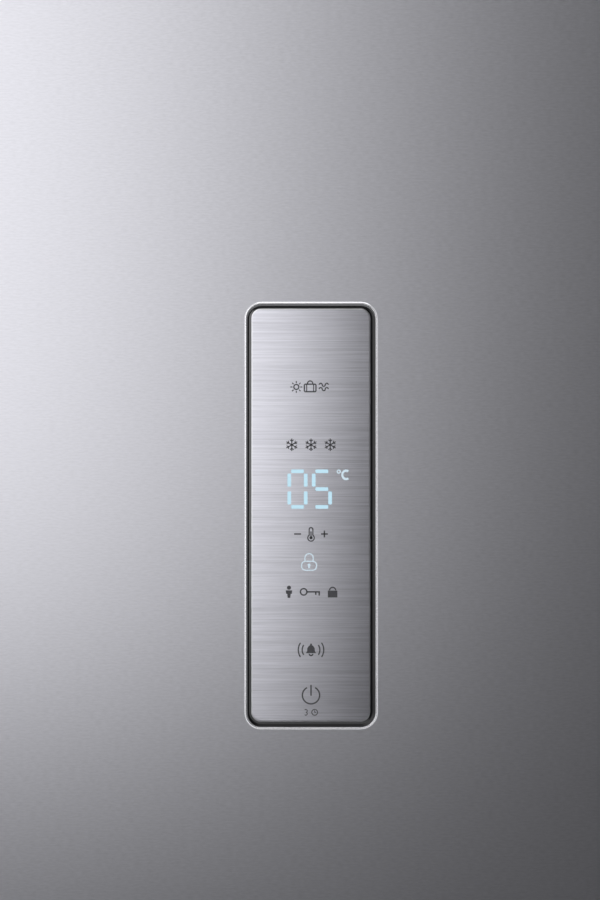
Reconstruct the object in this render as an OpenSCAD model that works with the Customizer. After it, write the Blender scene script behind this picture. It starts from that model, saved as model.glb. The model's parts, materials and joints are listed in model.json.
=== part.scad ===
// Larder fridge: a tall refrigerator with one steel door and an inset control panel.
// Z is up, the door faces -Y, and X runs to the right as seen from the front.
// The origin is on the floor, under the middle of the whole object.

/* [Cabinet] */
// Width of the cabinet and of the door
cab_w = 595; // [560:1:640]
// Top of the cabinet above the floor
cab_h = 1840; // [1810:1:1960]
// Depth of the case, without the door, the handle and the condenser
case_d = 560; // [540:1:640]
// Underside of the case above the floor
case_z = 60; // [54:1:66]
// Outer sheet steel
sheet = 0.8; // [0.6:0.1:1.2]
// Side wall from its outside to the inside of the liner
side_wall = 42; // [38:1:50]
// Top wall
top_wall = 45; // [40:1:60]
// Floor wall
floor_wall = 50; // [45:1:56]
// Back wall
back_wall = 48; // [40:1:60]
// Liner sheet
liner_t = 2; // [1.5:0.1:3]
// Round corners of the liner
liner_r = 14; // [8:1:24]
// Flange of the liner round its front edge
liner_flange = 7; // [5:1:9]

/* [Base] */
// Underside of the base frame above the floor
base_z = 30; // [28:1:34]
// Steel of the base frame
base_t = 1.5; // [1:0.1:2]
// Underside of the compressor tray above the floor
tray_z = 42; // [40:1:46]
// Compressor tray
tray_t = 2; // [1.5:0.1:3]
// Radius of a rear roller
roller_r = 15; // [12:0.5:16]
// Width of a rear roller
roller_w = 22; // [16:1:26]
// Roller axle
axle_r = 4; // [3:0.1:5]
// Stem of a levelling foot
foot_stem_r = 5; // [4:0.1:6]
// Pad of a levelling foot
foot_pad_r = 18; // [14:1:22]
// Distance of feet and rollers from the cabinet's side
foot_inset = 32; // [28:1:40]
// Distance of feet and rollers from the case's front and back
foot_setback = 38; // [34:1:50]

/* [Compressor space] */
// Depth of the compressor space
bay_d = 225; // [215:1:235]
// Height of the compressor space above the case's underside
bay_h = 215; // [205:1:225]
// Wall between the compressor space and the liner
bay_wall = 32; // [28:1:40]
// Radius of the compressor's shell
shell_r = 80; // [72:1:84]
// Straight part of the compressor's shell
shell_h = 55; // [45:1:60]
// Height of a rubber mount
mount_h = 14; // [10:1:16]
// Place of the compressor along X
comp_x = 40; // [20:1:60]

/* [Condenser] */
// Gap between the back panel and the wall behind
rear_gap = 25; // [22:1:40]
// Condenser tube
tube_r = 2.4; // [2:0.1:3]
// Condenser wire
wire_r = 0.8; // [0.6:0.1:1]
// Distance between two runs of the condenser tube
run_pitch = 62; // [58:1:70]
// Number of runs, an odd number
runs = 21; // [15:2:21]
// Distance between two condenser wires
wire_pitch = 30; // [24:1:40]
// Height of the lowest run above the floor
low_run_z = 340; // [330:1:350]

/* [Door] */
// Thickness of the door without its gasket
door_t = 52; // [46:1:60]
// Gap between the door and the case, filled by the gasket
seal_gap = 14; // [12:0.5:16]
// Round front edges of the door
door_r = 6; // [3:0.5:10]
// Gap between the case's underside and the door's underside
door_lift = 8; // [7:0.5:12]
// Gap between the cabinet's top and the door's top
door_drop = 4; // [3:0.5:8]
// Plate of a door end cap
cap_t = 5; // [4:0.5:8]
// Plug of a door end cap inside the skin
plug_h = 14; // [12:1:18]
// Lip of the door's skin round its back edge
skin_lip = 12; // [8:1:13]
// Width of the gasket
gasket_w = 18; // [14:1:19]
// Hinge axis inward from the cabinet's side
hinge_inset = 14; // [12:0.5:15]
// Hinge axis in front of the door's back
hinge_ahead = 25; // [22:0.5:28]
// Radius of a hinge pin
pin_r = 4; // [3:0.1:5]
// Wall of a hinge bush
bush_wall = 2.5; // [2:0.1:3]
// Steel of a hinge bracket
bracket_t = 3; // [2.5:0.1:4]
// Height of the hinge cover above the cabinet
cover_h = 15; // [12:0.5:20]

/* [Handle] */
// How far the handle stands out from the door
handle_out = 45; // [38:1:60]
// Radius of the handle bar
handle_r = 9; // [7:0.5:12]
// Length of the handle bar
handle_l = 620; // [400:1:800]
// Middle of the handle above the floor
handle_z = 1160; // [1000:1:1250]
// Handle inward from the door's edge
handle_inset = 38; // [30:1:60]
// Radius of a handle post
post_r = 7; // [5:0.5:8]
// Handle posts inward from the bar's ends
post_inset = 60; // [40:1:100]

/* [Control panel] */
// Width of the panel's opening
panel_w = 60; // [56:0.5:70]
// Height of the panel's opening
panel_h = 196; // [190:0.5:220]
// Round corners of the opening
panel_r = 7; // [5:0.5:10]
// Middle of the panel above the floor
panel_z = 1400; // [1300:1:1500]
// Width of the bright rim round the opening
rim_w = 1.2; // [0.8:0.1:2]
// How far the rim stands out from the door
rim_h = 0.5; // [0.3:0.1:1]
// Wall of the panel's well
well_wall = 1; // [0.8:0.1:1.2]
// Dark groove round the fascia
groove = 2.5; // [2:0.1:3]
// Depth of the groove
well_d = 9; // [7:0.5:11]
// Floor of the well
well_floor = 2; // [1.5:0.1:3]
// Fascia plate
fascia_t = 1.5; // [1:0.1:2]
// Round corners of the fascia
fascia_r = 4.4; // [3:0.1:6]
// Height of a digit
digit_h = 18.2; // [16:0.1:20]
// Width of a digit
digit_w = 9.3; // [8:0.1:10]
// Stroke of a digit
stroke = 1.7; // [1.2:0.1:2]
// Distance between the middles of the two digits
digit_pitch = 11.3; // [10.6:0.1:12]
// Digits above the panel's middle
digit_up = 12.2; // [8:0.1:14]

/* [Shelves] */
// Glass of a shelf
glass_t = 4; // [3:0.1:5]
// Top of the first glass shelf above the floor
shelf_1_top = 1500; // [1460:1:1540]
// Top of the second glass shelf above the floor
shelf_2_top = 1000; // [960:1:1040]
// Top of the third glass shelf above the floor
shelf_3_top = 740; // [700:1:780]
// Top of the wine rack's wires above the floor
rack_top = 1240; // [1180:1:1280]
// Top of the drawers' glass cover above the floor
cover_top = 490; // [488:1:500]
// Distance of the shelves behind the case's front
shelf_setback = 111; // [109:1:130]
// Gap between a shelf and the liner's side
shelf_gap = 2; // [1:0.5:3]
// Width of a ledge on the liner
ledge_w = 10; // [8:1:14]
// Height of a ledge
ledge_h = 8; // [6:1:12]
// Air duct behind the rear cover
duct_d = 60; // [56:1:64]
// Wall of the rear cover
cover_t = 3; // [2:0.1:4]

/* [Drawers] */
// Half width of a drawer over its rims
drawer_x = 235; // [225:1:236]
// Width of a drawer's rim
rim_x = 13; // [11:1:16]
// Wall of a drawer
drawer_wall = 3; // [2:0.1:4]
// Underside of the lower drawer above the liner's floor
lower_rise = 6; // [4:1:10]
// Height of the lower drawer
lower_h = 180; // [160:1:184]
// Height of the upper drawer
upper_h = 158; // [140:1:160]
// Gap between a drawer and what is behind the door
drawer_gap = 10; // [6:1:12]
// Travel of the humidity slider
slider_travel = 40; // [30:1:50]

/* [Door bins] */
// Gap between the door's dykes and the liner
dyke_gap = 24; // [23:1:30]
// Width of a dyke
dyke_w = 22; // [18:1:26]
// How far a dyke stands out from the door
dyke_d = 60; // [50:1:66]
// Depth of a bin
bin_d = 105; // [90:1:108]
// Wall of a bin
bin_wall = 2.5; // [2:0.1:3]
// Height of a shallow bin
bin_h = 90; // [80:1:110]
// Height of the bottle bin
bottle_h = 120; // [100:1:150]
// Underside of the bottle bin above the floor
bottle_z = 150; // [148:1:180]
// Underside of the lower bin above the floor
lower_z = 620; // [560:1:680]
// Underside of the upper bin above the floor
upper_z = 1030; // [960:1:1080]
// Underside of the dairy bin above the floor
dairy_z = 1450; // [1380:1:1500]

/* [Hidden] */
$fn = 48;

// Clearances: a turning fit, a clipped seat, a drop-in fit and a gap between moving pieces
fit = 0.05;
seat_gap = 0.1;
slack = 0.2;
play = 1;
// Overshoot of a cut past the face it opens
over = 1;

// Planes along Y, from the handle's front to the condenser brackets' back
front_y = -(handle_out + door_t + seal_gap + case_d + rear_gap) / 2;
door_face = front_y + handle_out;
door_back = door_face + door_t;
case_front = door_back + seal_gap;
case_back = case_front + case_d;
rear_y = case_back + rear_gap;

// Inside of the liner
half_w = cab_w / 2;
in_x = half_w - side_wall;
in_top = cab_h - top_wall;
in_floor = case_z + floor_wall;
in_back = case_back - back_wall;
frame_x = in_x + liner_flange;
frame_top = in_top + liner_flange;
frame_low = in_floor - liner_flange;

// Compressor space and the step that it makes in the liner
bay_front = case_back - bay_d;
bay_top = case_z + bay_h;
step_y = bay_front - bay_wall;
step_z = bay_top + bay_wall;
tray_top = tray_z + tray_t;
comp_y = (bay_front + case_back) / 2;
feet_z = tray_top + mount_h;
feet_t = 3;
feet_size = [190, 130];
feet_hole_x = 80;
feet_hole_y = 50;
dome_r = shell_r * 1.25;
dome_rise = dome_r - sqrt(dome_r ^ 2 - shell_r ^ 2);
shell_low = feet_z + dome_rise - feet_t;
shell_top = shell_low + shell_h + dome_rise;
stub_x = comp_x - shell_r - 15;
stub_z = shell_low + 25;
stub_r = 4;
discharge_y = comp_y - 20;
suction_y = comp_y + 20;
drip_t = 2;
drip_h = 22;
drip_size = [150, 110];
drip_x = comp_x;
drip_low = shell_top + 1;
spout_r = 8;
spout_y = in_back - duct_d / 2 + 4;
spout_low = drip_low + drip_h - 6;

// Door
door_low = case_z + door_lift;
door_top = cab_h - door_drop;
hinge_x = half_w - hinge_inset;
hinge_y = door_back - hinge_ahead;
bush_r = pin_r + fit + bush_wall;
bush_l = cap_t + plug_h - 3;
pin_depth = bush_l - 2;
plug_gap = 0.2;
dyke_out = in_x - dyke_gap;
dyke_in = dyke_out - dyke_w;
dyke_low = in_floor + 14;
dyke_top = in_top - 12;
bin_x = dyke_in - 7.5;
ear_x = dyke_in - play;
ear_w = 28;
ear_h = 12;
lug_h = 10;
ear_down = 30;
bin_y = door_back + play;
lid_pin_r = 2.5;
lid_y = bin_y + bin_wall + 7;
lid_t = 3;
lid_drop = 6;

// Handle and panel
bar_x = -(half_w - handle_inset);
bar_y = front_y + handle_r;
fascia_w = panel_w - 2 * groove;
fascia_h = panel_h - 2 * groove;
plateau_inset = 1;
board_gap = 3;
board_t = 1.6;
board_x = fascia_w / 2 - 5.5;
board_z = fascia_h / 2 - 11.5;
board_post_r = 3;
stroke_r = 0.4;
stroke_gap = 0.3;
digit_left = 0.5;
board_y = door_face + well_d + well_floor + board_gap;
pocket_d = board_y + board_t + 2 - door_face;

// Shelves, rear cover and drawers
shelf_tops = [shelf_1_top, shelf_2_top, shelf_3_top];
shelf_front = case_front + shelf_setback;
duct_y = in_back - duct_d;
shelf_back = duct_y - 10;
shelf_x = in_x - shelf_gap;
body_x = drawer_x - rim_x;
runner_x = body_x + 2;
drawer_front = door_back + play + bin_d + bin_wall + drawer_gap;
lower_z0 = in_floor + lower_rise;
lower_back = step_y - 6;
upper_z0 = step_z + 5;
upper_back = shelf_back - 5;
trim_d = 12;
trim_h = 18;
rack_wire_r = 2.5;
rack_cross_z = rack_top - 3 * rack_wire_r + 0.6;
cradles = 5;
cradle_pitch = 88;
cradle_half = 14;
slot_x = 100;
slot_h = 5;
slot_d = 5;
tongue_l = 16;
slot_l = slider_travel + tongue_l + 4;

// Lens of the lamp in the liner's roof, and drain trough under the coil
lens_size = [170, 60];
lens_t = 12;
lens_setback = 115;
trough_x = 190;
trough_h = 24;
trough_t = 2;

// Fan in the air duct
fan_z = in_top - 150;
fan_r = 55;
fan_y = duct_y + cover_t + 6;
fan_l = 18;
motor_y = fan_y + fan_l + 2;
motor_r = 22;
shaft_r = 2;
blades = 5;

// Condenser plane and its leads
cond_y = case_back + 14;
cond_x = half_w - 72;
riser_x = half_w - 42;
lead_z = 290;
high_run_z = low_run_z + (runs - 1) * run_pitch;
bend_r = run_pitch / 2 - 2;
pipe_bend = 12;

// Connection box on the tray, with its round lead entry
box_x0 = -(half_w - 14);
box_w = 96;
box_y0 = bay_front + 60;
box_l = 130;
box_h = 84;
box_wall = 3;
gland_r = 4;
gland_l = 14;
gland_x = box_x0 + 30;
gland_z = tray_top + 30;

// Screws of the top hinge, the bottom hinge and the compressor
screw_r = 2.5;
head_r = 5;
head_h = 3.5;
bracket_x = hinge_x - 22;
top_screws = [[bracket_x - 4, case_front + 20], [bracket_x + 16, case_front + 20], [bracket_x + 6, case_front + 50]];
low_screws = [bracket_x - 2, bracket_x + 20];
low_screw_z = base_z + 9;

// Box from its lowest to its highest corner
module block(lo, hi) {
    translate(lo) cube(hi - lo);
}

// Box of half width x, centred on X
module slab(x, y0, y1, z0, z1) {
    block([-x, y0, z0], [x, y1, z1]);
}

// Copies on the left and on the right
module both_sides() {
    children();
    mirror([1, 0, 0]) children();
}

// Rectangle with true round corners, centred on the origin
module round_rect(w, h, r) {
    square([w - 2 * r, h], center = true);
    square([w, h - 2 * r], center = true);
    for (sx = [-1, 1], sy = [-1, 1])
        translate([sx * (w / 2 - r), sy * (h / 2 - r)]) circle(r = r);
}

// Extrusion along Y of a shape drawn in X and Z
module along_y(y0, y1) {
    translate([0, y1, 0]) rotate([90, 0, 0]) linear_extrude(y1 - y0) children();
}

// Extrusion along X of a shape drawn in Y and Z
module along_x(x0, x1) {
    translate([x0, 0, 0]) rotate([90, 0, 90]) linear_extrude(x1 - x0) children();
}

// Round rod from one point to another
module rod(a, b, r) {
    v = b - a;
    translate(a) rotate([0, acos(v.z / norm(v)), atan2(v.y, v.x)]) cylinder(h = norm(v), r = r);
}

// Quarter bend at a square corner of a pipe
module elbow(from, corner, to, r, bend) {
    u = (corner - from) / norm(corner - from);
    w = (to - corner) / norm(to - corner);
    n = cross(u, w);
    c = corner - u * bend + w * bend;
    multmatrix([[-w.x, u.x, n.x, c.x], [-w.y, u.y, n.y, c.y], [-w.z, u.z, n.z, c.z], [0, 0, 0, 1]])
        rotate_extrude(angle = 90) translate([bend, 0]) circle(r = r);
}

// Pipe along straight runs that turn square corners
module pipe(path, r, bend) {
    last = len(path) - 1;
    for (i = [0 : last - 1]) {
        d = (path[i + 1] - path[i]) / norm(path[i + 1] - path[i]);
        rod(path[i] + d * (i == 0 ? 0 : bend), path[i + 1] - d * (i == last - 1 ? 0 : bend), r);
    }
    for (i = [1 : 1 : last - 1])
        elbow(path[i - 1], path[i], path[i + 1], r, bend);
}

// Side sheet with its front return, on the right
module side_sheet() {
    translate([0, 0, case_z]) linear_extrude(cab_h - case_z) polygon([
        [half_w, case_front], [half_w, case_back], [half_w - sheet, case_back],
        [half_w - sheet, case_front + sheet], [frame_x, case_front + sheet], [frame_x, case_front]
    ]);
}

module side_panel_left() {
    color("gainsboro") mirror([1, 0, 0]) side_sheet();
}

module side_panel_right() {
    color("gainsboro") side_sheet();
}

// Holes for the top hinge's screws
module top_screw_holes() {
    for (p = top_screws)
        rod([p.x, p.y, cab_h - 14], [p.x, p.y, cab_h + bracket_t + over], screw_r + fit);
}

module top_panel() {
    color("gainsboro") difference() {
        union() {
            slab(half_w - sheet, case_front + sheet, case_back, cab_h - sheet, cab_h);
            slab(frame_x, case_front, case_front + sheet, frame_top, cab_h);
        }
        top_screw_holes();
    }
}

module back_panel() {
    color("silver")
        slab(half_w - sheet, case_back - sheet, case_back, bay_top, cab_h - sheet);
}

// Floor, riser and roof of the compressor space as one bent sheet, with the front sill
module bottom_panel() {
    color("silver") difference() {
        union() {
            slab(frame_x, case_front, case_front + sheet, case_z, frame_low);
            slab(frame_x, case_front, case_front + 4 * sheet, case_z, case_z + sheet);
            along_x(-(half_w - sheet), half_w - sheet) polygon([
                [case_front + sheet, case_z], [bay_front, case_z], [bay_front, bay_top],
                [case_back - sheet, bay_top], [case_back - sheet, bay_top + sheet],
                [bay_front - sheet, bay_top + sheet], [bay_front - sheet, case_z + sheet],
                [case_front + sheet, case_z + sheet]
            ]);
        }
        drain_hole();
    }
}

// Way of the drain spout through the roof of the compressor space
module drain_hole() {
    rod([0, spout_y, bay_top - over], [0, spout_y, step_z + over], spout_r + slack);
}

// Front bar, side rails and compressor tray
module base_frame() {
    rail_x = half_w - sheet;
    color("dimgray") difference() {
        union() {
            slab(rail_x, case_front, case_front + base_t, base_z, case_z);
            slab(rail_x, case_front, case_front + foot_setback + foot_pad_r, base_z, base_z + base_t);
            slab(rail_x, case_front, case_front + 25, case_z - base_t, case_z);
            both_sides() {
                block([rail_x - base_t, case_front, base_z], [rail_x, case_back, case_z]);
                block([rail_x - 25, case_front, case_z - base_t], [rail_x, bay_front, case_z]);
            }
            slab(rail_x, bay_front, case_back, tray_z, tray_top);
            slab(rail_x, bay_front, bay_front + base_t, tray_z, case_z);
            slab(rail_x, case_back - base_t, case_back, tray_z, case_z);
        }
        both_sides() translate([half_w - foot_inset, case_front + foot_setback, base_z - over])
            cylinder(h = base_t + 2 * over, r = foot_stem_r + fit);
        for (x = low_screws)
            rod([x, case_front - over, low_screw_z], [x, case_front + base_t + over, low_screw_z], screw_r + fit);
    }
}

// Outside of the liner, which the foam is cast round, grown by g
module liner_block(g) {
    difference() {
        along_y(case_front, in_back + g) translate([0, (in_floor + in_top) / 2])
            round_rect(2 * (in_x + g), in_top - in_floor + 2 * g, liner_r + g);
        slab(half_w, step_y + g, case_back, in_floor - 2 * g - over, step_z - g);
    }
}

module flange_block() {
    slab(frame_x, case_front, case_front + liner_t, frame_low, frame_top);
}

module cabinet_foam() {
    color("khaki") difference() {
        along_x(-(half_w - sheet), half_w - sheet) polygon([
            [case_front + sheet, case_z + sheet], [bay_front - sheet, case_z + sheet],
            [bay_front - sheet, bay_top + sheet], [case_back - sheet, bay_top + sheet],
            [case_back - sheet, cab_h - sheet], [case_front + sheet, cab_h - sheet]
        ]);
        liner_block(liner_t);
        flange_block();
        drain_hole();
        top_screw_holes();
    }
}

module liner() {
    color("white") difference() {
        union() {
            liner_block(liner_t);
            flange_block();
        }
        translate([0, -over, 0]) liner_block(0);
        liner_block(0);
        drain_hole();
    }
}

// Ledge for a shelf whose underside is at z, on the right
module ledge(z) {
    block([in_x - ledge_w, shelf_front + 5, z - ledge_h], [in_x, shelf_back, z]);
}

// Runner under a drawer's rim whose underside is at z, on the right
module runner(z, back) {
    block([runner_x, drawer_front + drawer_wall + 3, z - 12], [in_x, back, z - 0.3]);
}

module wall_ledges() {
    color("whitesmoke") both_sides() {
        for (top = concat(shelf_tops, [cover_top])) ledge(top - glass_t);
        ledge(rack_cross_z - rack_wire_r);
        runner(lower_z0 + lower_h - drawer_wall, lower_back);
        runner(upper_z0 + upper_h - drawer_wall, upper_back);
    }
}

module shelf_glass(top) {
    color("lightcyan") slab(shelf_x, shelf_front, shelf_back, top - glass_t, top);
}

module shelf_glass_1() {
    shelf_glass(shelf_tops[0]);
}

module shelf_glass_2() {
    shelf_glass(shelf_tops[1]);
}

module shelf_glass_3() {
    shelf_glass(shelf_tops[2]);
}

// Clip-on edge of a glass shelf, drawn in Y and Z with the glass's edge at y = 0
module trim_profile() {
    difference() {
        translate([-3, -glass_t - 2.5]) square([trim_d, glass_t + 5]);
        translate([0, -glass_t]) square([trim_d, glass_t]);
    }
}

module shelf_trims() {
    width = in_x - ledge_w - play;
    color("silver") for (top = shelf_tops) {
        translate([0, shelf_front, top]) along_x(-width, width) trim_profile();
        translate([0, shelf_back, top]) along_x(-width, width) mirror([1, 0]) trim_profile();
    }
}

// Wine rack: rods from front to back that cradle bottles, welded on cross rods
module wine_rack() {
    rack_x = shelf_x - rack_wire_r;
    y0 = shelf_front + rack_wire_r;
    y1 = shelf_back - rack_wire_r;
    long_z = rack_top - rack_wire_r;
    color("silver") union() {
        for (y = [y0, y0 + (y1 - y0) * 0.4, y1])
            rod([-rack_x, y, rack_cross_z], [rack_x, y, rack_cross_z], rack_wire_r);
        for (i = [0 : cradles - 1], s = [-1, 1]) {
            x = (i - (cradles - 1) / 2) * cradle_pitch + s * cradle_half;
            rod([x, y0 - rack_wire_r, long_z], [x, y1 + rack_wire_r, long_z], rack_wire_r);
        }
    }
}

// Glass over the drawers, with a front trim that holds the humidity slider
module crisper_cover() {
    slot_z = cover_top - trim_h / 2 + 2;
    front = shelf_front - trim_d;
    color("lightcyan") difference() {
        union() {
            slab(shelf_x, shelf_front, shelf_back, cover_top - glass_t, cover_top);
            slab(in_x - ledge_w - play, front, shelf_front, cover_top + 2 - trim_h, cover_top + 2);
        }
        block([slot_x, front - over, slot_z - slot_h / 2], [slot_x + slot_l, front + slot_d, slot_z + slot_h / 2]);
    }
}

module humidity_slider() {
    slot_z = cover_top - trim_h / 2 + 2;
    front = shelf_front - trim_d;
    x0 = slot_x + 2;
    color("dodgerblue") {
        block([x0, front - 2 * slack, slot_z - slot_h / 2 + slack], [x0 + tongue_l, front + slot_d - slack, slot_z + slot_h / 2 - slack]);
        block([x0 - 1, front - 2 * slack - 3, slot_z - 5], [x0 + tongue_l + 1, front - 2 * slack, slot_z + 5]);
        rod([x0 + tongue_l / 2, front - 6, slot_z], [x0 + tongue_l / 2, front - 3, slot_z], 3);
    }
}

// Air cover in front of the evaporator, with side flanges and air slots
module rear_air_cover() {
    slot_rows = 8;
    slot_pitch = (fan_z - 2 * fan_r - step_z - 120) / slot_rows;
    color("white") difference() {
        union() {
            intersection() {
                along_y(duct_y, duct_y + cover_t) translate([0, (in_floor + in_top) / 2])
                    round_rect(2 * (in_x - slack), in_top - in_floor - 2 * slack, liner_r);
                slab(half_w, duct_y - over, in_back, step_z, in_top);
            }
            both_sides()
                block([in_x - slack - cover_t, duct_y, step_z], [in_x - slack, in_back, in_top - liner_r - 1]);
        }
        for (i = [0 : slot_rows - 1], x = [-150, 0, 150])
            slab_slot(x, step_z + 120 + i * slot_pitch, 60, 6);
        for (i = [-3 : 3])
            slab_slot(0, fan_z + i * 13, 2 * round(sqrt((fan_r - 6) ^ 2 - (i * 13) ^ 2)), 6);
        for (i = [0 : 2])
            slab_slot(0, step_z + 14 + i * 14, 300, 6);
    }
}

// Slot with round ends through the rear cover
module slab_slot(x, z, w, h) {
    along_y(duct_y - over, duct_y + cover_t + over) translate([x, z]) round_rect(w, h, h / 2 - 1);
}

// Finned coil behind the rear cover
module evaporator() {
    fins = 20;
    fin_pitch = 20;
    rows = 4;
    row_pitch = 46;
    y0 = duct_y + cover_t + 6;
    y1 = in_back;
    low = step_z + 60;
    high = low + rows * row_pitch;
    width = (fins - 1) * fin_pitch / 2;
    color("lightgray") union() {
        for (i = [0 : fins - 1])
            block([i * fin_pitch - width - 0.4, y0, low], [i * fin_pitch - width + 0.4, y1, high]);
        for (j = [0 : rows - 1], y = [y0 + 14, y1 - 14])
            rod([-width - 12, y, low + (j + 0.5) * row_pitch], [width + 12, y, low + (j + 0.5) * row_pitch], 4);
    }
}

module fan_motor() {
    color("dimgray") {
        block([-40, in_back - 4, fan_z - 40], [40, in_back, fan_z + 40]);
        rod([0, motor_y, fan_z], [0, in_back - 4, fan_z], motor_r);
        rod([0, fan_y + 2, fan_z], [0, motor_y, fan_z], shaft_r);
    }
}

// Hub on the motor's shaft with slanted blades
module fan_blade() {
    color("black") translate([0, fan_y, fan_z]) rotate([-90, 0, 0]) difference() {
        union() {
            cylinder(h = fan_l - 2, r = 14);
            intersection() {
                cylinder(h = fan_l - 2, r = fan_r - 3);
                for (i = [0 : blades - 1]) rotate([0, 0, i * 360 / blades])
                    translate([10, 0, (fan_l - 2) / 2]) rotate([28, 0, 0])
                        translate([0, -18, -0.9]) cube([fan_r, 36, 1.8]);
            }
        }
        translate([0, 0, 2]) cylinder(h = fan_l, r = shaft_r + fit);
    }
}

// Trough under the coil, with a spout down into the compressor space
module drain_trough() {
    y0 = duct_y + cover_t + 2;
    color("whitesmoke") difference() {
        union() {
            slab(trough_x, y0, in_back - liner_r, step_z, step_z + trough_h);
            rod([0, spout_y, spout_low], [0, spout_y, step_z + 1], spout_r);
        }
        slab(trough_x - trough_t, y0 + trough_t, in_back - liner_r - trough_t, step_z + trough_t + 1, step_z + trough_h + over);
        rod([0, spout_y, spout_low - over], [0, spout_y, step_z + trough_t + 2], spout_r - trough_t);
    }
}

// Tray that sits on the compressor's dome and dries off there
module drip_tray() {
    color("dimgray") difference() {
        translate([drip_x, comp_y, 0]) union() {
            translate([0, 0, drip_low]) linear_extrude(drip_h) round_rect(drip_size.x, drip_size.y, 10);
            translate([0, 0, drip_low - 8]) cylinder(h = 9, r = 36);
        }
        translate([drip_x, comp_y, drip_low + drip_t])
            linear_extrude(drip_h) round_rect(drip_size.x - 2 * drip_t, drip_size.y - 2 * drip_t, 8);
        translate([comp_x, comp_y, shell_top - dome_r]) sphere(r = dome_r + 0.3, $fn = 96);
    }
}

module light_lens() {
    color("white") translate([0, case_front + lens_setback, in_top - lens_t])
        linear_extrude(lens_t) round_rect(lens_size.x, lens_size.y, lens_t);
}

// Welded pot with a seam, a base plate and two stubs
module compressor() {
    color("black") difference() {
        union() {
            translate([comp_x, comp_y, 0]) {
                translate([0, 0, shell_low]) cylinder(h = shell_h, r = shell_r);
                translate([0, 0, shell_low + shell_h * 0.6]) cylinder(h = 4, r = shell_r + 3);
                intersection() {
                    translate([0, 0, shell_top - dome_r]) sphere(r = dome_r, $fn = 96);
                    translate([0, 0, shell_low + shell_h - over]) cylinder(h = dome_r, r = shell_r);
                }
                intersection() {
                    translate([0, 0, shell_low - dome_rise + dome_r]) sphere(r = dome_r, $fn = 96);
                    translate([0, 0, feet_z]) cylinder(h = dome_rise, r = shell_r);
                }
                translate([0, 0, feet_z]) linear_extrude(feet_t) round_rect(feet_size.x, feet_size.y, 12);
            }
            rod([comp_x, discharge_y, stub_z], [stub_x, discharge_y, stub_z], stub_r);
            rod([comp_x, suction_y, stub_z], [stub_x, suction_y, stub_z], stub_r + 1);
        }
        mount_places() translate([0, 0, feet_z - over]) cylinder(h = feet_t + 2 * over, r = screw_r + 2);
    }
}

// The four corners where the compressor stands
module mount_places() {
    for (sx = [-1, 1], sy = [-1, 1])
        translate([comp_x + sx * feet_hole_x, comp_y + sy * feet_hole_y, 0]) children();
}

module compressor_mounts() {
    color("black") mount_places() translate([0, 0, tray_top]) difference() {
        union() {
            cylinder(h = mount_h * 0.4, r = 12);
            translate([0, 0, mount_h * 0.6]) cylinder(h = mount_h * 0.4, r = 12);
            cylinder(h = mount_h, r = 9);
        }
        translate([0, 0, -over]) cylinder(h = mount_h + 2 * over, r = screw_r + fit);
    }
}

// Box over the compressor's terminals
module terminal_cover() {
    color("black") difference() {
        block([comp_x + shell_r - 20, comp_y - 32, shell_low + 2], [comp_x + shell_r + 34, comp_y + 32, shell_low + shell_h - 2]);
        translate([comp_x, comp_y, shell_low]) cylinder(h = shell_h, r = shell_r + slack);
        translate([comp_x, comp_y, shell_low + shell_h * 0.6 - slack]) cylinder(h = 4 + 2 * slack, r = shell_r + 3 + slack);
    }
}

// Discharge pipe to the condenser, suction pipe and capillary into the back wall
module refrigerant_pipes() {
    turn_x = stub_x - 40;
    turn_z = bay_top - 30;
    drier_z = lead_z - 85;
    color("peru") {
        pipe([
            [stub_x, discharge_y, stub_z], [turn_x, discharge_y, stub_z], [turn_x, discharge_y, turn_z],
            [turn_x, cond_y, turn_z], [-riser_x, cond_y, turn_z], [-riser_x, cond_y, lead_z]
        ], tube_r + 0.6, pipe_bend);
        pipe([
            [stub_x, suction_y, stub_z], [stub_x - 16, suction_y, stub_z], [stub_x - 16, suction_y, bay_top]
        ], stub_r, pipe_bend);
        pipe([
            [cond_x, cond_y, drier_z], [cond_x, cond_y, drier_z - 25], [cond_x, comp_y + 60, drier_z - 25],
            [cond_x, comp_y + 60, bay_top]
        ], 1.2, 8);
    }
}

module filter_drier() {
    color("peru") translate([cond_x, cond_y, 0]) {
        translate([0, 0, lead_z - 10]) cylinder(h = 10, r1 = 9, r2 = tube_r + 0.8);
        translate([0, 0, lead_z - 75]) cylinder(h = 65, r = 9);
        translate([0, 0, lead_z - 85]) cylinder(h = 10, r1 = 2, r2 = 9);
    }
}

// Winding tube, and wires in front of it and behind it
module condenser() {
    turns = [for (i = [0 : runs - 1]) for (s = [0, 1]) let (right = (i + s) % 2 == 1, z = high_run_z - i * run_pitch)
        [right ? cond_x : (i == 0 ? -riser_x : -cond_x), cond_y, z]];
    wires = floor((cond_x - bend_r) / wire_pitch);
    color("black") {
        pipe(concat([[-riser_x, cond_y, lead_z]], turns, [[cond_x, cond_y, lead_z]]), tube_r, bend_r);
        for (i = [-wires : wires], s = [-1, 1]) {
            y = cond_y + s * (tube_r + wire_r + 0.05);
            rod([i * wire_pitch, y, low_run_z - 10], [i * wire_pitch, y, high_run_z + 10], wire_r);
        }
    }
}

// Blocks that hold the condenser off the back panel and stand against the wall
module condenser_brackets() {
    x = 5.5 * wire_pitch;
    color("dimgray") difference() {
        both_sides() for (run = [2, runs - 3])
            block([x - 9, case_back, low_run_z + run * run_pitch - 12], [x + 9, rear_y, low_run_z + run * run_pitch + 12]);
        for (run = [2, runs - 3])
            rod([-cond_x, cond_y, low_run_z + run * run_pitch], [cond_x, cond_y, low_run_z + run * run_pitch], tube_r + fit);
    }
}

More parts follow.
